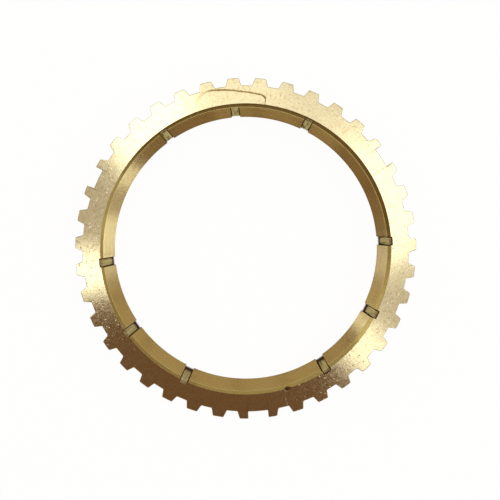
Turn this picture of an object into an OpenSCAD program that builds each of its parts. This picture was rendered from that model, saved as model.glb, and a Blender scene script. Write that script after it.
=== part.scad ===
// Synchronizer ring of a manual gearbox, one piece of brass: dog teeth round a flange,
// a friction cone with oil grooves in its bore, and a collar with key slots behind the flange.
// Millimetres. The axis is Z, the collar's end lies on z = 0 and the toothed face looks up.

/* [Ring] */
// Height along the axis, from the collar's end to the toothed face
ring_h = 11; // [9.5:0.1:13]
// Thickness of the toothed flange
flange_h = 4.5; // [3.5:0.1:5.5]
// Thickness of the collar, measured outwards from the cone's large end
collar_wall = 3.65; // [3:0.05:5]
// Step from the collar out to the tooth roots
flange_step = 2.35; // [1.5:0.01:4]
// Chamfer on the turned outer edges
edge_break = 0.3; // [0.1:0.05:0.5]
// Size of the corner left between collar and flange
corner = 0.5; // [0.2:0.1:1]

/* [Friction cone] */
// Diameter of the friction cone at its large end, just below the lead-in
cone_d = 83.7; // [75:0.1:95]
// Half angle of the cone in degrees
cone_half_angle = 6.5; // [5:0.1:8]
// Lead-in from the toothed face to the cone, at 45 degrees
lead_in = 0.8; // [0.4:0.1:1.2]
// Chamfer at the cone's small end
exit_break = 0.2; // [0.1:0.05:0.5]

/* [Oil grooves] */
// Even positions for oil grooves round the bore, of which those in line with a key slot stay uncut
groove_positions = 12; // [6:3:18]
// Width of an oil groove
groove_w = 2.6; // [1.6:0.1:4]
// Depth of an oil groove at the cone's small end
groove_depth = 1; // [0.6:0.05:1.4]
// Depth of an oil groove at the cone's large end and along the lead-in
groove_head = 0.48; // [0.2:0.02:0.9]
// Distance by which all oil grooves lie off the ring's axis, towards the front
groove_runout = 0.5; // [0:0.05:0.7]

/* [Dog teeth] */
// Tooth positions round the flange
tooth_count = 39; // [30:3:42]
// Radial height of a tooth
tooth_h = 2.15; // [1.5:0.01:2.5]
// Width of a tooth at its tip
tip_w = 3.2; // [2.4:0.1:3.6]
// Slope of a tooth flank against the tooth's centre line, in degrees
flank_angle = 18; // [10:0.5:20]
// Round on the corners of a tooth tip
tip_round = 0.35; // [0.1:0.05:0.6]
// Angle between the two lock chamfers at the back of a tooth, in degrees
lock_angle = 110; // [100:1:125]
// Width of the blunt ridge where the two lock chamfers meet
ridge_w = 0.4; // [0.2:0.05:0.8]

/* [Gaps and key slots] */
// Key slots round the collar, each below a widened tooth gap
key_count = 3; // [1:2:3]
// Width of a widened tooth gap
gap_w = 5.9; // [4.5:0.1:7]
// Width of a key slot
key_slot_w = 12; // [8:0.1:16]
// Collar wall left between a key slot's floor and the cone's large end
slot_wall = 1.25; // [0.8:0.05:1.8]

/* [Hidden] */
$fn = 180;
// Length by which a cutter or a tooth foot runs past the face it crosses
past = 1;
// Stock on the tooth tips that the last turning takes off
turning = 0.05;
arc_steps = 4;
cone_r = cone_d / 2;
face_r = cone_r + lead_in;
collar_r = cone_r + collar_wall;
slot_floor_r = cone_r + slot_wall;
root_r = collar_r + flange_step;
tip_r = root_r + tooth_h;
stock_r = tip_r + turning;
flange_z = ring_h - flange_h;
cone_slope = tan(cone_half_angle);
small_r = cone_r - (ring_h - lead_in) * cone_slope;
pitch = 360 / tooth_count;
key_pitch = 360 / key_count;
first_key = 270;
groove_pitch = 360 / groove_positions;
groove_small_r = small_r + groove_depth;
groove_large_r = cone_r + groove_head;
groove_slope = (groove_large_r - groove_small_r) / (ring_h - lead_in);
foot_r = root_r - past;
foot_half_w = tip_w / 2 + (stock_r - foot_r) * tan(flank_angle);
roof_half_w = foot_half_w + past;
roof_rise = (roof_half_w - ridge_w / 2) / tan(lock_angle / 2);

// Radius of the friction cone at height z
function cone_at(z) = small_r + z * cone_slope;

// True where angle a is that of a key slot
function on_key(a) = abs(((a - first_key + 360) / key_pitch + 0.5) % 1 - 0.5) < 0.01;

// Section of the turned blank: collar, flange up to the tooth roots, and the bore
module blank_section() {
    polygon([
        [small_r + exit_break, 0],
        [collar_r - edge_break, 0],
        [collar_r, edge_break],
        [collar_r, flange_z - corner],
        [collar_r + corner, flange_z],
        [root_r, flange_z],
        [root_r, ring_h],
        [face_r, ring_h],
        [cone_r, ring_h - lead_in],
        [cone_at(exit_break), exit_break]
    ]);
}

// Section that the tooth tips are turned to, with its upper edge broken
module tip_section() {
    polygon([
        [foot_r - past, flange_z - past],
        [tip_r, flange_z - past],
        [tip_r, ring_h - edge_break],
        [tip_r - edge_break, ring_h],
        [foot_r - past, ring_h]
    ]);
}

// Section of the groove floors: steeper than the cone, then flared along the lead-in
module groove_section() {
    polygon([
        [small_r - 2 * past, -past],
        [groove_small_r - past * groove_slope, -past],
        [groove_large_r, ring_h - lead_in],
        [groove_large_r + lead_in + past, ring_h + past],
        [small_r - 2 * past, ring_h + past]
    ]);
}

// Right side of a tooth's outline from the foot to the tip, with the tip corner rounded
function tooth_side() =
    let (turn = 90 - flank_angle)
    let (reach = tip_round * tan(turn / 2))
    let (centre = [stock_r - tip_round, tip_w / 2 - reach])
    concat(
        [[foot_r, foot_half_w]],
        [for (i = [0 : arc_steps])
            let (a = turn * (1 - i / arc_steps))
            centre + tip_round * [cos(a), sin(a)]]
    );

// One dog tooth on the +X side, with two lock chamfers that meet in a blunt ridge at the back
module tooth() {
    side = tooth_side();
    last = len(side) - 1;
    mirrored = [for (i = [last : -1 : 0]) [side[i][0], -side[i][1]]];
    intersection() {
        translate([0, 0, flange_z - past])
            linear_extrude(flange_h + past)
                polygon(concat(side, mirrored));
        translate([foot_r - past, 0, flange_z])
            rotate([90, 0, 90])
                linear_extrude(stock_r - foot_r + 2 * past)
                    polygon([
                        [-ridge_w / 2, 0],
                        [ridge_w / 2, 0],
                        [roof_half_w, roof_rise],
                        [roof_half_w, flange_h + past],
                        [-roof_half_w, flange_h + past],
                        [-roof_half_w, roof_rise]
                    ]);
    }
}

// All dog teeth, with the widened gaps cut out and the tips turned to one diameter
module teeth() {
    intersection() {
        difference() {
            for (i = [0 : tooth_count - 1])
                rotate(first_key + (i + 0.5) * pitch)
                    tooth();
            for (i = [0 : key_count - 1])
                rotate(first_key + i * key_pitch)
                    translate([foot_r - past, -gap_w / 2, flange_z - past])
                        cube([stock_r - foot_r + 2 * past, gap_w, flange_h + 2 * past]);
        }
        rotate_extrude()
            tip_section();
    }
}

// Oil grooves, kept out of the stretches that back onto a key slot and deepest at the front
module oil_grooves() {
    strip_in = small_r - past;
    strip_out = groove_large_r + lead_in + 2 * past;
    translate([0, -groove_runout, 0])
        intersection() {
            rotate_extrude()
                groove_section();
            for (i = [0 : groove_positions - 1])
                if (!on_key(i * groove_pitch))
                    rotate(i * groove_pitch)
                        translate([strip_in, -groove_w / 2, -2 * past])
                            cube([strip_out - strip_in, groove_w, ring_h + 4 * past]);
        }
}

// Key slots in the collar, from its end to the back of the flange
module key_slots() {
    for (i = [0 : key_count - 1])
        rotate(first_key + i * key_pitch)
            translate([slot_floor_r, -key_slot_w / 2, -past])
                cube([collar_r - slot_floor_r + corner + past, key_slot_w, flange_z + past]);
}

module synchronizer_ring() {
    color([0.74, 0.58, 0.28])
        difference() {
            union() {
                rotate_extrude()
                    blank_section();
                teeth();
            }
            oil_grooves();
            key_slots();
        }
}

synchronizer_ring();
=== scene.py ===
import math

import bmesh
import bpy
import numpy as np
from mathutils import Matrix, Vector


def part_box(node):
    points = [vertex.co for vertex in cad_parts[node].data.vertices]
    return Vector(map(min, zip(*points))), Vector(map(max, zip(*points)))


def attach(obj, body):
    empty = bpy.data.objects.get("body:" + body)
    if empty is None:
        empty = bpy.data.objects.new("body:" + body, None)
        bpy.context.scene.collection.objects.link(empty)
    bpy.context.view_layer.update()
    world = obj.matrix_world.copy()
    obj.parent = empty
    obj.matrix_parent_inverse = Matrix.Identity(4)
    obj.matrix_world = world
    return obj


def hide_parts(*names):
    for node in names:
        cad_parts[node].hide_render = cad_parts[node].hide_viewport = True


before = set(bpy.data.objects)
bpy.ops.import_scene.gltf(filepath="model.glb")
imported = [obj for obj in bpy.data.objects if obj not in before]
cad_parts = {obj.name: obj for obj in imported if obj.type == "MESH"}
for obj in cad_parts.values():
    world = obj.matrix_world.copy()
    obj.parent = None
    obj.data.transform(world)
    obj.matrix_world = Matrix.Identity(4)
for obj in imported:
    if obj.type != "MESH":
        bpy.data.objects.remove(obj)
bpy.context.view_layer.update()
ring_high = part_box("synchronizer_ring")[1]

# Sizes in metres, worked inwards from the CAD ring's tooth tips and height
MM = 0.001
RING_H = ring_high.z
TIP_R = ring_high.y
TOOTH_H = 2.15 * MM
FLANGE_STEP = 2.35 * MM
COLLAR_WALL = 3.65 * MM
FLANGE_H = 4.5 * MM
LEAD_IN = 0.8 * MM
EXIT_BREAK = 0.2 * MM
EDGE_BREAK = 0.3 * MM
CORNER = 0.5 * MM
CONE_HALF_ANGLE = 6.5
CONE_SLOPE = math.tan(math.radians(CONE_HALF_ANGLE))
ROOT_R = TIP_R - TOOTH_H
COLLAR_R = ROOT_R - FLANGE_STEP
CONE_R = COLLAR_R - COLLAR_WALL
FACE_R = CONE_R + LEAD_IN
LEAD_Z = RING_H - LEAD_IN
SMALL_R = CONE_R - LEAD_Z * CONE_SLOPE
FLANGE_Z = RING_H - FLANGE_H

# Widened gaps and key slots share their angles in degrees
KEY_ANGLES = [30, 150, 270]
GAP_W = 5.9 * MM
SLOT_W = 12 * MM
SLOT_WALL = 1.25 * MM
SLOT_FLOOR = CONE_R + SLOT_WALL

# Dog teeth, in degrees round the axis and metres across
TOOTH_COUNT = 39
PITCH = 360 / TOOTH_COUNT
TOOTH_ANGLES = [KEY_ANGLES[-1] + (i + 0.5) * PITCH for i in range(TOOTH_COUNT)]
TIP_W = 3.2 * MM
FLANK_ANGLE = 18
FLANK_SLOPE = math.tan(math.radians(FLANK_ANGLE))
FOOT_HALF_W = TIP_W / 2 + TOOTH_H * FLANK_SLOPE
LOCK_ANGLE = 110
LOCK_SLOPE = 1 / math.tan(math.radians(LOCK_ANGLE / 2))
RIDGE_W = 0.4 * MM

# Oil grooves, which keep clear of the key slots and lie off the ring's axis by the run-out
GROOVE_PITCH = 30
GROOVE_ANGLES = [a for a in range(0, 360, GROOVE_PITCH) if a not in KEY_ANGLES]
GROOVE_W = 2.6 * MM
GROOVE_DEPTH = 1.0 * MM
GROOVE_HEAD = 0.48 * MM
GROOVE_SMALL_R = SMALL_R + GROOVE_DEPTH
GROOVE_LARGE_R = CONE_R + GROOVE_HEAD
GROOVE_RUNOUT = 0.5 * MM

# Rounds of the edges, and the shares of a groove's depth between which its side is straight
ROOT_FILLET = 0.26 * MM
TIP_ROUND = 0.28 * MM
TOP_ROUND = 0.14 * MM
BACK_ROUND = 0.12 * MM
LEAD_ROUND = 0.09 * MM
RIM_ROUND = 0.06 * MM
SLOT_FILLET = 0.5 * MM
GROOVE_ROUND = 0.28 * MM
MOUTH_ROUND = GROOVE_ROUND / 5
GROOVE_FOOT = 0.85
GROOVE_MOUTH = 0.05

# Finishes, in the order of the ring's materials. SCALE is painted shade on the groove sides, not scale; the
# groove sides' other finish and that of the groove floors along the lead-in are painted shade too, and that
# of the lighter groove floors at the front left is painted light.
FACE, CONE, GROOVE, SIDE, SCALE, LEAD, LIT_FLOOR, NICK, GROOVE_SIDE_SHADE, HEAD_SHADE = range(10)

# Heights at which finishes start: the lead-in's, and on groove floors the painted shade of their sides
LEAD_START = LEAD_Z - 1.1 * LEAD_ROUND
GROOVE_LIP = RING_H - 0.4 * MM
# Grooves whose floors are painted lighter where more light falls, grooves with darker painted shade on their
# sides, and the depth from which a groove shows
LIT_GROOVES = [210, 240]
DEEP_SHADE_GROOVES = [300, 330, 0]
LEAST_CUT = 0.03 * MM

# The photograph turns the ring by this much, so angles read from it lose it
PHOTO_TURN = 4.32

# The cone was turned a little off the lead-in's axis: shift of the crease between them, and its direction
CREASE_SHIFT = 0.15 * MM
CREASE_ANGLE = 196 - PHOTO_TURN

# A lap left on the toothed face by the forging: angle, radius in mm and half width in mm of its line
LAP = [
    (82.4, 42, 0.286),
    (82.65, 43.9, 0.286),
    (82.8, 44.65, 0.26),
    (83.4, 45.05, 0.247),
    (84.6, 45.42, 0.234),
    (88, 45.75, 0.234),
    (92, 46.17, 0.234),
    (96, 46.72, 0.247),
    (98, 46.97, 0.286),
    (102, 47.42, 0.234),
    (103.5, 47.42, 0.26),
    (106, 47, 0.416),
    (108.2, 45.6, 0.52),
    (109.5, 42, 0.39),
]
# The line is dark brown where the lap is deep, at its right end, and fades to a pale brass
LAP_DEEP, LAP_BROWN = (0.11, 0.07, 0.025), (0.235, 0.16, 0.058)
LAP_TAN, LAP_PALE = (0.54, 0.42, 0.215), (0.63, 0.55, 0.32)
LAP_TONES = [
    (82.4, LAP_DEEP), (82.8, LAP_DEEP), (84.6, LAP_BROWN),
    (102, LAP_BROWN), (104.5, LAP_TAN), (109.5, LAP_PALE),
]
# How ragged and how soft the line's edge is, in half widths, how soft its ends are, and its grain
LAP_RAGGED = 0.5
LAP_SOFT = 0.5
LAP_END = 0.002
LAP_GRAIN = 2500

# A nick in the edge of the bore, and a scratch across the face beside it
NICK_ANGLE = 286.7 - PHOTO_TURN
NICK_R = FACE_R + 0.05 * MM
NICK_LENGTH = 0.95 * MM
NICK_W = 0.55 * MM
NICK_DEPTH = 0.1 * MM
NICK_CURVE = 1.5
NICK_SHOWS = 0.05
SCRATCH_ANGLE = 285.1 - PHOTO_TURN
SCRATCH_HALF_W = 0.12 * MM
SCRATCH_DEPTH = 0.013 * MM
SCRATCH_REACH = (44.6 * MM, 48 * MM)

# How the mesh is divided: degrees between points, closer round the nick, then points and loops of its parts
RUN_STEP = 0.9
NICK_RUN = (-2.2, 1.3)
NICK_STEP = 0.08
RUN_DECIMALS = 4
RUN_SLACK = 0.001
GROOVE_FADE = 3
SLOT_POINTS = 8
CONE_LOOPS = 6
LEAD_LOOPS = 4
LEAD_HOLD = 0.02
FACE_SHARES = (0.003, 0.04, 0.08, 0.2, 0.4, 0.6, 0.8)
FACE_HOLD = 0.06 * MM
MERGE = 0.001 * MM
SHARP_ANGLE = math.radians(38)


def on_circle(radius, angle):
    """Point of a circle at an angle in radians."""
    return np.array([radius * math.cos(angle), radius * math.sin(angle)])


def angle_of(point):
    """Angle of a point in radians."""
    return math.atan2(point[1], point[0])


def beside_x(radius, aside):
    """Point of a circle at a distance to the side of the X axis."""
    return np.array([math.sqrt(radius ** 2 - aside ** 2), aside])


def flat(angle, radius):
    """Points in the plane from angles in degrees and radii."""
    a = np.radians(angle)
    return np.stack([radius * np.cos(a), radius * np.sin(a)], 1)


def bend(start, corner, end, t):
    """Point at share t along a rounded corner, from start to end."""
    return (1 - t) ** 2 * start + 2 * t * (1 - t) * corner + t ** 2 * end


def rounded(start, corner, end, steps=4):
    """Points of a rounded corner, from start to end."""
    return bend(start, corner, end, np.linspace(0, 1, steps + 1)[:, None])


def wall(foot, top, foot_r, top_r, fillet, edge, away):
    """Points up a side wall from a lower circle, which runs off to the side away, to an upper one."""
    up = (top - foot) / np.linalg.norm(top - foot)
    start = on_circle(foot_r, angle_of(foot) + away * fillet / foot_r)
    end = on_circle(top_r, angle_of(top) - away * edge / top_r)
    return np.vstack([rounded(start, foot, foot + fillet * up), rounded(top - edge * up, top, end)])


def flank():
    """A tooth's flank, in a frame with the tooth's centre line on X."""
    foot = beside_x(ROOT_R, FOOT_HALF_W)
    tip = beside_x(TIP_R, TIP_W / 2)
    return wall(foot, tip, ROOT_R, TIP_R, ROOT_FILLET, TIP_ROUND, 1)


def gap_wall():
    """The side of a widened gap, in a frame with the gap's centre line on X."""
    foot = beside_x(ROOT_R, GAP_W / 2)
    tip = beside_x(TIP_R, GAP_W / 2)
    return wall(foot, tip, ROOT_R, TIP_R, ROOT_FILLET, TIP_ROUND, -1)


def slot_wall():
    """Half of a key slot from the middle of its flat floor, in a frame with the slot's centre line on X."""
    half = SLOT_W / 2
    floor = [[SLOT_FLOOR, y] for y in np.linspace(0, half - SLOT_FILLET, SLOT_POINTS)]
    foot = np.array([SLOT_FLOOR, half])
    side = wall(foot, beside_x(COLLAR_R, half), SLOT_FLOOR, COLLAR_R, SLOT_FILLET, BACK_ROUND, -1)
    return np.vstack([floor, side[1:]])


def groove_wall():
    """Half of an oil groove from the middle of its floor, as (distance across, share of the depth)."""
    half = GROOVE_W / 2
    floor = rounded(*np.array([[half - GROOVE_ROUND, 1], [half, 1], [half, GROOVE_FOOT]]))
    mouth = rounded(*np.array([[half, GROOVE_MOUTH], [half, 0], [half + MOUTH_ROUND, 0]]))
    return np.vstack([[[0, 1]], floor, mouth])


def groove_floor(z):
    """Radius of the groove floors about the grooves' own axis, at a height."""
    below = GROOVE_SMALL_R + (GROOVE_LARGE_R - GROOVE_SMALL_R) * z / LEAD_Z
    return below if z < LEAD_Z else GROOVE_LARGE_R + z - LEAD_Z


def bore_section():
    """Radius and height up the bore's plain wall, from the collar's end to the toothed face."""
    crease = np.array([CONE_R, LEAD_Z])
    below = crease - LEAD_ROUND * np.array([CONE_SLOPE, 1])
    above = crease + LEAD_ROUND * np.array([1, 1])
    rim = np.array([FACE_R, RING_H])
    rim_start = rim - RIM_ROUND * np.array([1, 1])
    cone = [[SMALL_R + z * CONE_SLOPE, z] for z in np.linspace(EXIT_BREAK, below[1], CONE_LOOPS)[:-1]]
    hold = above + LEAD_HOLD * (rim_start - above)
    lead = np.linspace(hold, rim_start, LEAD_LOOPS)[:-1]
    edge = rounded(rim_start, rim, rim + RIM_ROUND * np.array([1, 0]), steps=3)
    return np.vstack([[[SMALL_R + EXIT_BREAK, 0]], cone, rounded(below, crease, above), lead, edge])


class Line:
    """A closed line round the axis: angle in degrees and radius against an even running angle."""

    def __init__(self):
        self.run, self.angle, self.radius = [], [], []

    def add(self, points, centre, sign):
        """Adds points of a wall, in the order given, turned to centre and mirrored where sign is -1."""
        angles = centre + sign * np.degrees(np.arctan2(points[:, 1], points[:, 0]))
        self.run.extend(np.linspace(angles[0], angles[-1], len(points)))
        self.angle.extend(angles)
        self.radius.extend(np.hypot(points[:, 0], points[:, 1]))

    def close(self):
        """Sorts the points round the axis."""
        order = np.argsort(np.mod(self.run, 360))
        run, angle, radius = (np.array(v)[order] for v in (self.run, self.angle, self.radius))
        self.run, self.turn, self.radius = np.mod(run, 360), angle - run, radius
        return self

    def at(self, run):
        """Angle and radius at the running angles."""
        turn = np.interp(run, self.run, self.turn, period=360)
        return run + turn, np.interp(run, self.run, self.radius, period=360)

    def inset(self, distance):
        """The same line moved inwards by a distance."""
        points = flat(self.run + self.turn, self.radius)
        edge = np.roll(points, -1, 0) - points
        edge /= np.linalg.norm(edge, axis=1)[:, None]
        along = edge + np.roll(edge, 1, 0)
        along /= np.linalg.norm(along, axis=1)[:, None]
        moved = points - distance * np.stack([along[:, 1], -along[:, 0]], 1)
        new = Line()
        shift = np.degrees(np.arctan2(moved[:, 1], moved[:, 0])) - self.run
        new.run, new.turn = self.run, np.mod(shift + 180, 360) - 180
        new.radius = np.hypot(moved[:, 0], moved[:, 1])
        return new


def tooth_line():
    """The outline of the teeth, with the widened gaps."""
    line = Line()
    for centre in TOOTH_ANGLES:
        for sign in (-1, 1):
            gap = centre + sign * PITCH / 2
            wide = any(abs((gap - key + 180) % 360 - 180) < PITCH / 4 for key in KEY_ANGLES)
            if wide:
                line.add(gap_wall(), gap, -sign)
            else:
                line.add(flank(), centre, sign)
    return line.close()


def collar_line():
    """The outline of the collar, with the key slots, whose halves share their first point."""
    line = Line()
    half = slot_wall()
    for key in KEY_ANGLES:
        line.add(half[1:], key, -1)
        line.add(half, key, 1)
    return line.close()


def nearest(run, centres):
    """Signed angle from the nearest of the centres, and that centre."""
    away = (run[:, None] - np.array(centres)[None, :] + 180) % 360 - 180
    pick = np.abs(away).argmin(1)
    return away[np.arange(len(run)), pick], np.array(centres)[pick]


def midway(run):
    """Running angles halfway to the next one."""
    return (run + np.append(run[1:], run[0] + 360)) / 2


class Bore:
    """The grooved bore: turns a plain radius into points that dip into the oil grooves."""

    def __init__(self):
        self.across, self.share = groove_wall().T
        start, end = (math.degrees(a / CONE_R) for a in (self.across[1], self.across[-1]))
        self.run = np.concatenate([[0], np.linspace(start, end, len(self.across) - 1)])

    def runs(self):
        """Running angles that the grooves need."""
        half = np.concatenate([-self.run[:0:-1], self.run])
        return np.concatenate([a + half for a in GROOVE_ANGLES])

    def at(self, run, radius, z):
        """Points of the bore where its plain wall has a radius at height z; notes the finishes there."""
        away, centre = nearest(run, GROOVE_ANGLES)
        side, reach = np.sign(away), np.abs(away)
        inside = reach < self.run[-1] + RUN_SLACK
        turn = np.radians(centre)
        across = side * np.interp(reach, self.run, self.across)
        off_x, off_y = -GROOVE_RUNOUT * np.sin(turn), -GROOVE_RUNOUT * np.cos(turn)
        wall_x = np.sqrt(radius ** 2 - (across + off_y) ** 2) - off_x
        dip = np.maximum(np.sqrt(groove_floor(z) ** 2 - across ** 2) - wall_x, 0)
        x = wall_x + dip * np.interp(reach, self.run, self.share) + off_x
        y = across + off_y
        angle = centre + np.degrees(np.arctan2(y, x))
        fade = np.clip(1 - (reach - self.run[-1]) / GROOVE_FADE, 0, 1)
        beside = run + (angle - centre - side * self.run[-1]) * fade
        self.note_finish(run, centre, dip)
        return flat(np.where(inside, angle, beside), np.where(inside, np.hypot(x, y), radius))

    def note_finish(self, run, centre, dip):
        """Keeps the finish after each running angle, and that of the nearest groove's sides, which is painted
        shade.
        """
        between = np.abs(nearest(midway(run), GROOVE_ANGLES)[0])
        cut = (between < self.run[-1]) & (dip > LEAST_CUT)
        # Painted shade on the groove sides, darkest on the grooves whose sides lie most in shade
        self.side_shade_finish = np.where(np.isin(centre, DEEP_SHADE_GROOVES), SCALE, GROOVE_SIDE_SHADE)
        # Floors painted lighter on the grooves where more light falls
        floor = np.where(np.isin(centre, LIT_GROOVES), LIT_FLOOR, GROOVE)
        self.finish = np.where(cut, np.where(between > self.run[1], self.side_shade_finish, floor), CONE)


def roof_height(points):
    """Height of the lock chamfers over points in the plane, held level away from the teeth."""
    angle = np.degrees(np.arctan2(points[:, 1], points[:, 0]))
    away = nearest(angle, TOOTH_ANGLES)[0]
    across = np.hypot(points[:, 0], points[:, 1]) * np.abs(np.sin(np.radians(away)))
    return FLANGE_Z + np.clip(across - RIDGE_W / 2, 0, FOOT_HALF_W) * LOCK_SLOPE


class Loops:
    """Loops of points round the axis, each with the finish of the band that follows it."""

    def __init__(self):
        self.points, self.finish = [], []

    def add(self, plane, z, finish):
        """Adds a loop; height and finish are one for all its points or one for each."""
        z = np.broadcast_to(z, (len(plane),))
        self.points.append(np.column_stack([plane, z]))
        self.finish.append(finish)

    def add_round(self, plane, z, finish, steps=3, outwards=False):
        """Rounds the edge from the last loop to a new one, which runs outwards first, or else down first."""
        last = self.points[-1]
        z = np.broadcast_to(z, (len(plane),))
        end = np.column_stack([plane, z])
        corner = np.column_stack([plane, last[:, 2]] if outwards else [last[:, :2], z])
        self.finish[-1] = finish
        for t in np.linspace(0, 1, steps + 1)[1:-1]:
            self.points.append(bend(last, corner, end, t))
            self.finish.append(finish)
        self.points.append(end)
        self.finish.append(finish)


def bore_loops(loops, run, bore):
    """Adds the loops up the bore to the rim of the face, and returns the last one in the plane."""
    for radius, z in bore_section():
        shift = CREASE_SHIFT * np.interp(z, [0, LEAD_Z, RING_H], [0, 1, 0])
        inner = bore.at(run, radius, z) + on_circle(shift, math.radians(CREASE_ANGLE))
        finish = bore.finish
        if z > LEAD_START:
            finish = np.where(finish == CONE, LEAD, finish)
        # The top of a groove floor takes the painted shade of the groove's sides
        if z > GROOVE_LIP:
            finish = np.where(finish == GROOVE, bore.side_shade_finish, finish)
        # Groove floors along the lead-in take a darker finish: painted shade
        if z > LEAD_Z:
            finish = np.where(np.isin(finish, [GROOVE, LIT_FLOOR]), HEAD_SHADE, finish)
        lift = shift * np.cos(np.radians(run - CREASE_ANGLE))
        loops.add(inner, z + lift, finish)
    return inner


def face_loops(loops, run, teeth, inner):
    """Adds the loops out over the toothed face and round its outer edge."""
    loops.finish[-1] = FACE
    hold = flat(*teeth.inset(TOP_ROUND + FACE_HOLD).at(run))
    for share in FACE_SHARES:
        loops.add(inner + (hold - inner) * share, RING_H, FACE)
    loops.add(hold, RING_H, FACE)
    loops.add(flat(*teeth.inset(TOP_ROUND).at(run)), RING_H, FACE)
    loops.add_round(flat(*teeth.at(run)), RING_H - TOP_ROUND, FACE, steps=4, outwards=True)
    loops.finish[-1] = SIDE


def tooth_loops(loops, run, teeth):
    """Adds the loops down the teeth, over their lock chamfers and in to the back of the flange."""
    angle, radius = teeth.at(run)
    outline = flat(angle, radius)
    proud = np.clip((radius - ROOT_R) / TOOTH_H, 0, 1)[:, None]
    roof_edge = outline + (flat(*teeth.inset(BACK_ROUND).at(run)) - outline) * proud
    loops.add(outline, (RING_H + roof_height(outline)) / 2, SIDE)
    loops.add(outline, roof_height(outline) + BACK_ROUND * proud[:, 0], SIDE)
    loops.add_round(roof_edge, roof_height(roof_edge), SIDE)
    root = flat(angle, ROOT_R)
    loops.add(root, roof_height(root), SIDE)
    loops.add(root, FLANGE_Z + BACK_ROUND, SIDE)
    loops.add_round(root * (1 - BACK_ROUND / ROOT_R), FLANGE_Z, SIDE)


def collar_loops(loops, run, collar):
    """Adds the loops down the collar and its key slots to the collar's end."""
    angle, radius = collar.at(run)
    in_slot = np.clip((COLLAR_R - radius) / (COLLAR_R - SLOT_FLOOR), 0, 1)
    loops.add(flat(angle, radius + CORNER * (1 - in_slot)), FLANGE_Z, SIDE)
    outline = flat(angle, radius)
    loops.add_round(outline, FLANGE_Z - CORNER, SIDE)
    loops.add(outline, FLANGE_Z / 2, SIDE)
    loops.add(outline, EDGE_BREAK, SIDE)
    loops.add(flat(angle, radius - EDGE_BREAK), 0, SIDE)


def turned(points, angle):
    """Distances of points outwards along an angle in degrees, and to its left."""
    turn = math.radians(angle)
    out = points[:, 0] * math.cos(turn) + points[:, 1] * math.sin(turn)
    return out, points[:, 1] * math.cos(turn) - points[:, 0] * math.sin(turn)


def nick_share(points):
    """How far inside the nick points lie: 1 at its middle, 0 outside it."""
    out, along = turned(points, NICK_ANGLE)
    out -= NICK_R
    away = (out / NICK_W) ** 2 + (along / NICK_LENGTH) ** 2
    top = points[:, 2] > LEAD_Z - LEAD_ROUND
    return np.where(top & (out > -LEAD_IN), np.clip(1 - away, 0, 1), 0)


def press_marks(points):
    """Presses the nick into the edge of the bore and the scratch into the face."""
    away = np.abs(turned(points, SCRATCH_ANGLE)[1]) / SCRATCH_HALF_W
    out = np.hypot(points[:, 0], points[:, 1])
    on_face = (points[:, 2] > RING_H - RIM_ROUND) & (points[:, 1] < 0)
    on_face &= (out > SCRATCH_REACH[0]) & (out < SCRATCH_REACH[1])
    scratch = SCRATCH_DEPTH * np.where(on_face, np.clip(1 - away, 0, 1), 0)
    points[:, 2] -= np.maximum(scratch, NICK_DEPTH * nick_share(points) ** NICK_CURVE)


def running_angles(bore, teeth, collar):
    """Running angles of the mesh: those that the outlines need, close ones at the nick and an even spread."""
    at_nick = np.arange(NICK_ANGLE + NICK_RUN[0], NICK_ANGLE + NICK_RUN[1], NICK_STEP)
    even = np.arange(0, 360, RUN_STEP)
    run = np.concatenate([bore.runs(), teeth.run, collar.run, at_nick, even])
    return np.unique(np.round(np.mod(run, 360), RUN_DECIMALS))


def make_ring():
    """The ring as one closed mesh of loops, with rounded edges."""
    bore, teeth, collar = Bore(), tooth_line(), collar_line()
    run = running_angles(bore, teeth, collar)
    loops = Loops()
    inner = bore_loops(loops, run, bore)
    face_loops(loops, run, teeth, inner)
    tooth_loops(loops, run, teeth)
    collar_loops(loops, run, collar)
    points = np.vstack(loops.points)
    in_nick = nick_share(points) > NICK_SHOWS
    press_marks(points)

    columns, rows = len(run), len(loops.points)
    quads = []
    for row in range(rows):
        a = row * columns
        b = (row + 1) % rows * columns
        quads += [(a + i, a + (i + 1) % columns, b + (i + 1) % columns, b + i) for i in range(columns)]
    mesh = bpy.data.meshes.new("synchronizer_ring_dressed")
    mesh.from_pydata(points.tolist(), [], quads)
    finish = np.array([np.broadcast_to(f, (columns,)) for f in loops.finish])
    finish[in_nick.reshape(rows, columns)] = NICK
    mesh.polygons.foreach_set("material_index", finish.ravel().astype(np.int32))
    smooth_edges(mesh)
    ring = bpy.data.objects.new("synchronizer_ring_dressed", mesh)
    bpy.context.scene.collection.objects.link(ring)
    return ring


def smooth_edges(mesh):
    """Merges points that coincide, turns normals outwards and shades all but the sharp edges smoothly."""
    bm = bmesh.new()
    bm.from_mesh(mesh)
    bmesh.ops.remove_doubles(bm, verts=bm.verts, dist=MERGE)
    bmesh.ops.dissolve_degenerate(bm, edges=bm.edges, dist=MERGE)
    bmesh.ops.recalc_face_normals(bm, faces=bm.faces)
    for face in bm.faces:
        face.smooth = True
    for edge in bm.edges:
        edge.smooth = len(edge.link_faces) == 2 and edge.calc_face_angle(0) < SHARP_ANGLE
    bm.to_mesh(mesh)
    bm.free()


# Middle range of a noise texture's values
NOISE_MIDDLE = (0.3, 0.7)
# Pits of the face: cells a metre, and the distances from a cell's middle at which a pit's floor and rim lie
PIT_CELLS = 780
PIT_REACH = (0.03, 0.19)
# Sockets of a Mix node that blends colours
MIX_FACTOR, MIX_A, MIX_B, MIX_RESULT = 0, 6, 7, 2


def new_material(name, metallic=1):
    """A material with a Principled shader; returns it with its nodes, its links and the shader."""
    material = bpy.data.materials.new(name)
    material.use_nodes = True
    nodes, links = material.node_tree.nodes, material.node_tree.links
    shader = nodes["Principled BSDF"]
    shader.inputs["Metallic"].default_value = metallic
    return material, nodes, links, shader


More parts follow.
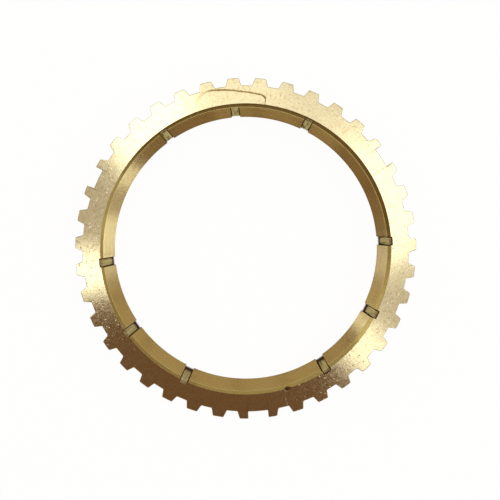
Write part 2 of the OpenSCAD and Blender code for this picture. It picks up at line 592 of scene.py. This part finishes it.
def noise(nodes, links, scale, detail=3, stretch=(1, 1, 1)):
    """A noise texture in the part's own frame; scale is cycles a metre, times stretch along each axis."""
    place = nodes.new("ShaderNodeTexCoord")
    mapping = nodes.new("ShaderNodeMapping")
    mapping.inputs["Scale"].default_value = stretch
    texture = nodes.new("ShaderNodeTexNoise")
    texture.inputs["Scale"].default_value = scale
    texture.inputs["Detail"].default_value = detail
    links.new(place.outputs["Object"], mapping.inputs["Vector"])
    links.new(mapping.outputs["Vector"], texture.inputs["Vector"])
    return texture.outputs["Fac"]


def ramp(nodes, links, value, stops):
    """A colour ramp over a value; stops are (place, colour)."""
    node = nodes.new("ShaderNodeValToRGB")
    elements = node.color_ramp.elements
    elements[0].position, elements[1].position = stops[0][0], stops[-1][0]
    for place, _ in stops[1:-1]:
        elements.new(place)
    for element, (_, colour) in zip(elements, stops):
        element.color = (*colour, 1)
    links.new(value, node.inputs["Fac"])
    return node.outputs["Color"]


def number_curve(nodes, links, value, points):
    """A curve of straight pieces over a value from 0 to 1."""
    node = nodes.new("ShaderNodeFloatCurve")
    line = node.mapping.curves[0]
    for x, y in points[1:-1]:
        line.points.new(x, y)
    for point, (x, y) in zip(line.points, points):
        point.location = (x, y)
        point.handle_type = "VECTOR"
    node.mapping.update()
    links.new(value, node.inputs["Value"])
    return node.outputs["Value"]


def math_node(nodes, links, operation, *values):
    """One step of arithmetic on outputs of other nodes."""
    node = nodes.new("ShaderNodeMath")
    node.operation = operation
    for socket, value in zip(node.inputs, values):
        links.new(value, socket)
    return node.outputs[0]


def map_range(nodes, links, value, old, new, clamp=True):
    """Maps a value from one range to another."""
    node = nodes.new("ShaderNodeMapRange")
    node.clamp = clamp
    for name, number in zip(("From Min", "From Max", "To Min", "To Max"), (*old, *new)):
        node.inputs[name].default_value = number
    links.new(value, node.inputs["Value"])
    return node.outputs["Result"]


def spread(nodes, links, value, low, high):
    """Maps a noise's middle range to a range of numbers."""
    return map_range(nodes, links, value, NOISE_MIDDLE, (low, high))


def mix_colours(nodes, links, factor, a, b):
    """Colour a where the factor is 0, and b where it is 1."""
    mix = nodes.new("ShaderNodeMix")
    mix.data_type = "RGBA"
    for socket, value in zip((MIX_FACTOR, MIX_A, MIX_B), (factor, a, b)):
        links.new(value, mix.inputs[socket])
    return mix.outputs[MIX_RESULT]


def tint(nodes, links, shader, value, stops):
    """Colours the shader by a ramp over a value."""
    links.new(ramp(nodes, links, value, stops), shader.inputs["Base Color"])


def vary_roughness(nodes, links, shader, scale, low, high):
    """Lets the shader's roughness vary by a noise."""
    links.new(spread(nodes, links, noise(nodes, links, scale), low, high), shader.inputs["Roughness"])


def bump(nodes, links, shader, height, distance):
    """Adds a bump over any bump that the shader already has."""
    node = nodes.new("ShaderNodeBump")
    node.inputs["Distance"].default_value = distance
    node.inputs["Strength"].default_value = 1
    links.new(height, node.inputs["Height"])
    normal = shader.inputs["Normal"]
    if normal.is_linked:
        links.new(normal.links[0].from_socket, node.inputs["Normal"])
    links.new(node.outputs["Normal"], normal)


def polar(nodes, links):
    """Angle in radians and distance from the axis, in the part's own frame."""
    place = nodes.new("ShaderNodeTexCoord")
    split = nodes.new("ShaderNodeSeparateXYZ")
    links.new(place.outputs["Object"], split.inputs["Vector"])
    x, y = split.outputs["X"], split.outputs["Y"]
    squares = (math_node(nodes, links, "MULTIPLY", v, v) for v in (x, y))
    out = math_node(nodes, links, "SQRT", math_node(nodes, links, "ADD", *squares))
    return math_node(nodes, links, "ARCTAN2", y, x), out


def lap_thinning(angle, radius, half_w):
    """Factors that turn radial distances from the lap's line into ones across it, at its own half width."""
    slope = np.diff(radius) / np.diff(angle) / ((radius[1:] + radius[:-1]) / 2)
    level = 1 / np.hypot(1, slope)
    level = np.maximum(np.append(level[0], level), np.append(level, level[-1]))
    return level * half_w.min() / half_w


def lap_line(nodes, links):
    """The lap's line on the face: a mask, 1 on the line and 0 beside it, and its colour."""
    angle = np.radians([p[0] - PHOTO_TURN for p in LAP])
    radius = np.array([p[1] for p in LAP]) * MM
    half_w = np.array([p[2] for p in LAP]) * MM
    low, high = radius.min(), radius.max()
    turn, out = polar(nodes, links)
    along = map_range(nodes, links, turn, (angle[0], angle[-1]), (0, 1))
    out = map_range(nodes, links, out, (low, high), (0, 1), clamp=False)

    share = (angle - angle[0]) / (angle[-1] - angle[0])
    line = number_curve(nodes, links, along, list(zip(share, (radius - low) / (high - low))))
    thin = number_curve(nodes, links, along, list(zip(share, lap_thinning(angle, radius, half_w))))
    away = math_node(nodes, links, "ABSOLUTE", math_node(nodes, links, "SUBTRACT", out, line))
    away = math_node(nodes, links, "MULTIPLY", away, thin)
    edge = half_w.min() / (high - low)
    uneven = spread(nodes, links, noise(nodes, links, LAP_GRAIN), -LAP_RAGGED * edge, LAP_RAGGED * edge)
    away = math_node(nodes, links, "ADD", away, uneven)
    mask = map_range(nodes, links, away, ((1 - LAP_SOFT) * edge, (1 + LAP_SOFT) * edge), (1, 0))

    back = map_range(nodes, links, along, (0, 1), (1, 0))
    past = math_node(nodes, links, "MINIMUM", along, back)
    mask = math_node(nodes, links, "MULTIPLY", mask, map_range(nodes, links, past, (0, LAP_END), (0, 1)))
    first, last = LAP[0][0], LAP[-1][0]
    tones = [((a - first) / (last - first), tone) for a, tone in LAP_TONES]
    return mask, ramp(nodes, links, along, tones)


def pits(nodes, links):
    """Height of a face with sparse shallow pits."""
    place = nodes.new("ShaderNodeTexCoord")
    cells = nodes.new("ShaderNodeTexVoronoi")
    cells.inputs["Scale"].default_value = PIT_CELLS
    links.new(place.outputs["Object"], cells.inputs["Vector"])
    return map_range(nodes, links, cells.outputs["Distance"], PIT_REACH, (0, 1))


def face_brass():
    """Toothed face: satin brass with a fine grain, sparkling pits, uneven tarnish and the lap's line."""
    material, nodes, links, shader = new_material("brass_face")
    tarnish = ramp(nodes, links, noise(nodes, links, 1500, detail=4),
                   [(0.28, (0.55, 0.44, 0.24)), (0.42, (0.64, 0.58, 0.35)), (0.7, (0.705, 0.65, 0.405))])
    mask, colour = lap_line(nodes, links)
    links.new(mix_colours(nodes, links, mask, tarnish, colour), shader.inputs["Base Color"])
    vary_roughness(nodes, links, shader, scale=900, low=0.09, high=0.14)
    bump(nodes, links, shader, noise(nodes, links, 3400, detail=2), distance=0.0045 * MM)
    bump(nodes, links, shader, pits(nodes, links), distance=0.012 * MM)
    return material


def lead_brass():
    """Lead-in of the bore: smoother turned brass."""
    material, nodes, links, shader = new_material("brass_lead")
    tint(nodes, links, shader, noise(nodes, links, 900),
         [(0.3, (0.455, 0.363, 0.121)), (0.7, (0.512, 0.414, 0.14))])
    vary_roughness(nodes, links, shader, scale=700, low=0.14, high=0.17)
    bump(nodes, links, shader, noise(nodes, links, 1800, detail=2), distance=0.0005 * MM)
    return material


def turned_normal(nodes, links, lines, low, high):
    """Normal of a turned surface, whose fine lines lean up the axis by a slope from low to high."""
    slope = nodes.new("ShaderNodeCombineXYZ")
    links.new(spread(nodes, links, lines, low, high), slope.inputs["Z"])
    turn = nodes.new("ShaderNodeVectorTransform")
    turn.vector_type = "VECTOR"
    turn.convert_from, turn.convert_to = "OBJECT", "WORLD"
    links.new(slope.outputs["Vector"], turn.inputs["Vector"])
    surface = nodes.new("ShaderNodeNewGeometry")
    tilted = nodes.new("ShaderNodeVectorMath")
    links.new(surface.outputs["Normal"], tilted.inputs[0])
    links.new(turn.outputs["Vector"], tilted.inputs[1])
    unit = nodes.new("ShaderNodeVectorMath")
    unit.operation = "NORMALIZE"
    links.new(tilted.outputs["Vector"], unit.inputs[0])
    return unit.outputs["Vector"]


def cone_brass():
    """Turned friction cone: brass with fine lines round the axis."""
    material, nodes, links, shader = new_material("brass_cone")
    lines = noise(nodes, links, 15000, detail=1, stretch=(0, 0, 1))
    tint(nodes, links, shader, lines, [(0.3, (0.52, 0.40, 0.165)), (0.7, (0.66, 0.51, 0.21))])
    links.new(turned_normal(nodes, links, lines, low=0.7, high=1.9), shader.inputs["Normal"])
    vary_roughness(nodes, links, shader, scale=500, low=0.14, high=0.19)
    return material


def groove_metal(name, stops):
    """Groove floors: matte brass, left as broached, with streaks along them."""
    material, nodes, links, shader = new_material(name)
    shader.inputs["Specular Tint"].default_value = (0.35, 0.32, 0.28, 1)
    shader.inputs["Roughness"].default_value = 0.55
    streaks = noise(nodes, links, 1500, stretch=(1, 1, 0.08))
    tint(nodes, links, shader, streaks, stops)
    bump(nodes, links, shader, streaks, distance=0.02 * MM)
    return material


def groove_brass():
    """Groove floors with dark streaks of dirt."""
    return groove_metal("brass_groove",
                        [(0.34, (0.20, 0.15, 0.065)), (0.44, (0.50, 0.41, 0.18)), (0.7, (0.69, 0.59, 0.30))])


def lit_floor_brass():
    """Floors of the grooves at the front left, painted lighter where more light falls on them."""
    return groove_metal("brass_groove_floor_painted_light", [(0.3, (0.42, 0.34, 0.155)), (0.7, (0.64, 0.54, 0.28))])


def head_shade_brass():
    """Groove floors along the lead-in, darker than below it: painted shade."""
    return groove_metal("brass_groove_head_shade", [(0.3, (0.26, 0.20, 0.09)), (0.7, (0.50, 0.40, 0.20))])


def side_brass():
    """Tooth flanks, flange back and collar: satin machined brass."""
    material, nodes, links, shader = new_material("brass_side")
    tint(nodes, links, shader, noise(nodes, links, 220),
         [(0.3, (0.66, 0.49, 0.24)), (0.7, (0.75, 0.58, 0.31))])
    vary_roughness(nodes, links, shader, scale=800, low=0.28, high=0.40)
    bump(nodes, links, shader, noise(nodes, links, 1800, detail=2), distance=0.006 * MM)
    return material


def scale_and_shade_coat(name, stops):
    """A matte dark coat: scale in the nick, and painted shade on the groove sides."""
    material, nodes, links, shader = new_material(name, metallic=0)
    shader.inputs["Specular IOR Level"].default_value = 0
    shader.inputs["Roughness"].default_value = 1
    tint(nodes, links, shader, noise(nodes, links, 1200), stops)
    return material


def deep_groove_side_shade_brass():
    """Dark painted shade on the sides of the more shaded grooves."""
    return scale_and_shade_coat("brass_groove_side_shade_deep", [(0.35, (0.05, 0.028, 0.009)), (0.7, (0.12, 0.075, 0.025))])


def groove_side_shade_brass():
    """Lighter brown painted shade on the sides of the other grooves."""
    return scale_and_shade_coat("brass_groove_side_shade", [(0.35, (0.12, 0.073, 0.018)), (0.7, (0.23, 0.15, 0.042))])


def nick_brass():
    """Scale in the nick."""
    return scale_and_shade_coat("brass_nick", [(0.35, (0.06, 0.033, 0.011)), (0.7, (0.12, 0.07, 0.026))])


# Camera, as the photograph was taken: distance from the toothed face, sight line tilted off the axis
CAMERA_DISTANCE = 175.2 * MM
CAMERA_TILT_X = math.radians(2.36)
CAMERA_TILT_Y = math.radians(0.25)
AXIS_OFFSET = Vector((-1.20 * MM, -0.10 * MM))
CLIP_START = 0.01
SENSOR_MM = 36
FRAME_PX = 500
FOCAL_PX = 597.9


def make_camera():
    """The camera over the ring."""
    data = bpy.data.cameras.new("camera")
    data.sensor_width = SENSOR_MM
    data.lens = FOCAL_PX / FRAME_PX * SENSOR_MM
    data.clip_start = CLIP_START
    camera = bpy.data.objects.new("camera", data)
    view = Matrix.Rotation(CAMERA_TILT_Y, 3, "Y") @ Matrix.Rotation(CAMERA_TILT_X, 3, "X")
    turn = Matrix.Rotation(-math.radians(PHOTO_TURN), 3, "Z") @ view.transposed()
    place = turn @ Vector((-AXIS_OFFSET.x, -AXIS_OFFSET.y, CAMERA_DISTANCE)) + Vector((0, 0, RING_H))
    camera.matrix_world = Matrix.Translation(place) @ turn.to_4x4()
    bpy.context.scene.collection.objects.link(camera)
    bpy.context.scene.camera = camera
    return camera


# Colours of the panels
PLAIN = (1, 1, 1)
DAYLIGHT = (0.885, 1.0, 1.22)
ROOM = (0.97, 1.0, 0.8)

# Soft panels over the ring, for its face: from and to angle as the photograph has them, and brightness
PANEL_Z = 1.0
PANEL_DEPTH = 0.24
PANELS = {
    "right": (-2, 43, 2.2),
    "back_right": (43, 58, 1.25),
    "back": (58, 74, 1.12),
    "back_left": (74, 108, 1.34),
    "left_back": (108, 144, 2.6),
    "left_fill": (144, 179, 0.47),
    "left": (179, 195.5, 2.6),
    "front_right": (312, 329, 1.9),
    "right_fill": (329, 343, 0.61),
    "right_edge": (343, 358, 0.73),
}

# Panels round the ring, in degrees above the floor: the high ones for its cone, the low ones for its lead-in
SIDE_DISTANCE = 1.2
WIDEST_PANEL = 24
SIDE_RISE = (30, 58)
SIDE_PANELS = [
    (18, 66, 0.45, ROOM),
    (66, 128, 0.41, ROOM),
    (128, 141, 0.37, ROOM),
    (146.5, 154.5, 1.7, DAYLIGHT),
    (154.5, 170, 0.45, ROOM),
    (170, 188, 1.03, DAYLIGHT),
    (190, 228, 0.2, ROOM),
    (228, 284, 0.4, ROOM),
    (284, 318, 0.2, ROOM),
    (319.5, 331, 1.83, DAYLIGHT),
    (331, 341.5, 0.54, DAYLIGHT),
    (341.5, 361, 1.74, DAYLIGHT),
    (361, 369, 1.11, DAYLIGHT),
    (369, 378, 0.42, ROOM),
]
LOW_RISE = (11, 26)
LOW_PANELS = [
    (12, 17, 0.4, PLAIN),
    (17, 70, 0.29, PLAIN),
    (70, 118, 0.43, PLAIN),
    (118, 143, 0.42, PLAIN),
    (143, 153, 1.1, PLAIN),
    (153, 168, 0.76, PLAIN),
    (168, 174, 0.55, PLAIN),
    (174, 178, 0.49, PLAIN),
    (178, 188, 0.35, PLAIN),
    (318, 326, 0.22, PLAIN),
    (326, 342, 0.52, PLAIN),
    (342, 352, 0.7, PLAIN),
    (352, 372, 0.43, PLAIN),
]


def hang_panel(name, place, turn, size, brightness, colour=PLAIN):
    """One soft panel that shines along its own -Z."""
    data = bpy.data.lights.new("panel_" + name, "AREA")
    data.shape = "RECTANGLE"
    data.size, data.size_y = size
    data.energy = brightness * math.pi * data.size * data.size_y
    data.color = colour
    panel = bpy.data.objects.new("panel_" + name, data)
    panel.location = place
    panel.rotation_euler = turn
    bpy.context.scene.collection.objects.link(panel)


def ring_panels(name, panels, low, high):
    """Stands panels round the ring between two elevations in degrees, the wide ones in short pieces."""
    rise = math.radians((low + high) / 2)
    out = SIDE_DISTANCE * math.cos(rise)
    height = 2 * SIDE_DISTANCE * math.tan(math.radians(high - low) / 2)
    for start, end, brightness, colour in panels:
        pieces = math.ceil((end - start) / WIDEST_PANEL)
        step = math.radians(end - start) / pieces
        for i in range(pieces):
            angle = math.radians(start - PHOTO_TURN) + (i + 0.5) * step
            place = Vector((out * math.cos(angle), out * math.sin(angle), SIDE_DISTANCE * math.sin(rise)))
            turn = place.to_track_quat("Z", "Y").to_euler()
            size = (2 * out * math.tan(step / 2), height)
            hang_panel(f"{name}_{start:g}_{i + 1}", place, turn, size, brightness, colour)


def make_panels(camera):
    """Hangs panels over the ring, where its face mirrors them to the camera, and others round it."""
    rise = (PANEL_Z - RING_H) / (camera.location.z - RING_H)
    middle = -rise * camera.location.xy
    distance = (1 + rise) * (FACE_R + ROOT_R) / 2
    for name, (start, end, brightness) in PANELS.items():
        angle = math.radians((start + end) / 2 - PHOTO_TURN)
        width = 2 * distance * math.tan(math.radians(end - start) / 2)
        place = (middle.x + distance * math.cos(angle), middle.y + distance * math.sin(angle), PANEL_Z)
        hang_panel(name, place, (0, 0, angle), (PANEL_DEPTH, width), brightness)
    ring_panels("side", SIDE_PANELS, *SIDE_RISE)
    ring_panels("low", LOW_PANELS, *LOW_RISE)


# How the floor darkens below the ring: distance from the axis and share of its level
LIT, SHADED = (1, 1, 1), (0.045, 0.022, 0.012)
FLOOR_SHARES = [
    (0, LIT), (41.1 * MM, LIT), (41.35 * MM, SHADED), (46 * MM, SHADED), (50 * MM, LIT), (60 * MM, LIT)
]
FLOOR_GLOW = 0.95
FLOOR_MATTE = 0.08
FLOOR_REACH = 30
FLOOR_Z = -0.02 * MM


def contact_shadow(nodes, links, level):
    """A level of the floor, dark where the ring stands on it."""
    reach = FLOOR_SHARES[-1][0]
    place = nodes.new("ShaderNodeTexCoord")
    shrink = nodes.new("ShaderNodeVectorMath")
    shrink.operation = "SCALE"
    shrink.inputs["Scale"].default_value = 1 / reach
    links.new(place.outputs["Object"], shrink.inputs[0])
    away = nodes.new("ShaderNodeVectorMath")
    away.operation = "LENGTH"
    links.new(shrink.outputs["Vector"], away.inputs[0])
    stops = [(r / reach, tuple(level * share for share in shares)) for r, shares in FLOOR_SHARES]
    return ramp(nodes, links, away.outputs["Value"], stops)


def floor_material():
    """A pale floor that stays white in the picture and in reflections, and keeps the shadow."""
    material = bpy.data.materials.new("floor")
    material.use_nodes = True
    nodes, links = material.node_tree.nodes, material.node_tree.links
    nodes.remove(nodes["Principled BSDF"])
    rays = nodes.new("ShaderNodeLightPath")
    seen = rays.outputs["Is Camera Ray"]
    for other in ("Is Glossy Ray", "Is Transmission Ray"):
        seen = math_node(nodes, links, "MAXIMUM", seen, rays.outputs[other])
    glow = nodes.new("ShaderNodeEmission")
    links.new(contact_shadow(nodes, links, FLOOR_GLOW), glow.inputs["Color"])
    links.new(seen, glow.inputs["Strength"])
    matte = nodes.new("ShaderNodeBsdfDiffuse")
    links.new(contact_shadow(nodes, links, FLOOR_MATTE), matte.inputs["Color"])
    both = nodes.new("ShaderNodeAddShader")
    links.new(glow.outputs[0], both.inputs[0])
    links.new(matte.outputs[0], both.inputs[1])
    links.new(both.outputs[0], nodes["Material Output"].inputs["Surface"])
    return material


def make_floor():
    """A wide floor just below the ring."""
    mesh = bpy.data.meshes.new("floor")
    corners = [(x * FLOOR_REACH, y * FLOOR_REACH, 0) for x, y in ((-1, -1), (1, -1), (1, 1), (-1, 1))]
    mesh.from_pydata(corners, [], [(0, 1, 2, 3)])
    mesh.materials.append(floor_material())
    floor = bpy.data.objects.new("floor", mesh)
    floor.location.z = FLOOR_Z
    bpy.context.scene.collection.objects.link(floor)


# The room: white up to one height of the sight line, dim and warm from another
WHITE = (1, 1, 1)
DIM = (0.198, 0.104, 0.0565)
WHITE_TO = 0.12
DIM_FROM = 0.16


def make_world():
    """A dim warm room above, paling to white at the horizon."""
    world = bpy.data.worlds.new("room")
    bpy.context.scene.world = world
    world.use_nodes = True
    nodes, links = world.node_tree.nodes, world.node_tree.links
    place = nodes.new("ShaderNodeTexCoord")
    split = nodes.new("ShaderNodeSeparateXYZ")
    links.new(place.outputs["Generated"], split.inputs["Vector"])
    stops = [(0, WHITE), (WHITE_TO, WHITE), (DIM_FROM, DIM), (1, DIM)]
    links.new(ramp(nodes, links, split.outputs["Z"], stops), nodes["Background"].inputs["Color"])


def main():
    """Builds the ring, the camera, the lights and the room."""
    ring = make_ring()
    for make in (face_brass, cone_brass, groove_brass, side_brass, deep_groove_side_shade_brass, lead_brass, lit_floor_brass,
                 nick_brass, groove_side_shade_brass, head_shade_brass):
        ring.data.materials.append(make())
    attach(ring, "root")
    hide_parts("synchronizer_ring")
    camera = make_camera()
    make_panels(camera)
    make_floor()
    make_world()
    bpy.context.scene.view_settings.view_transform = "Standard"


main()
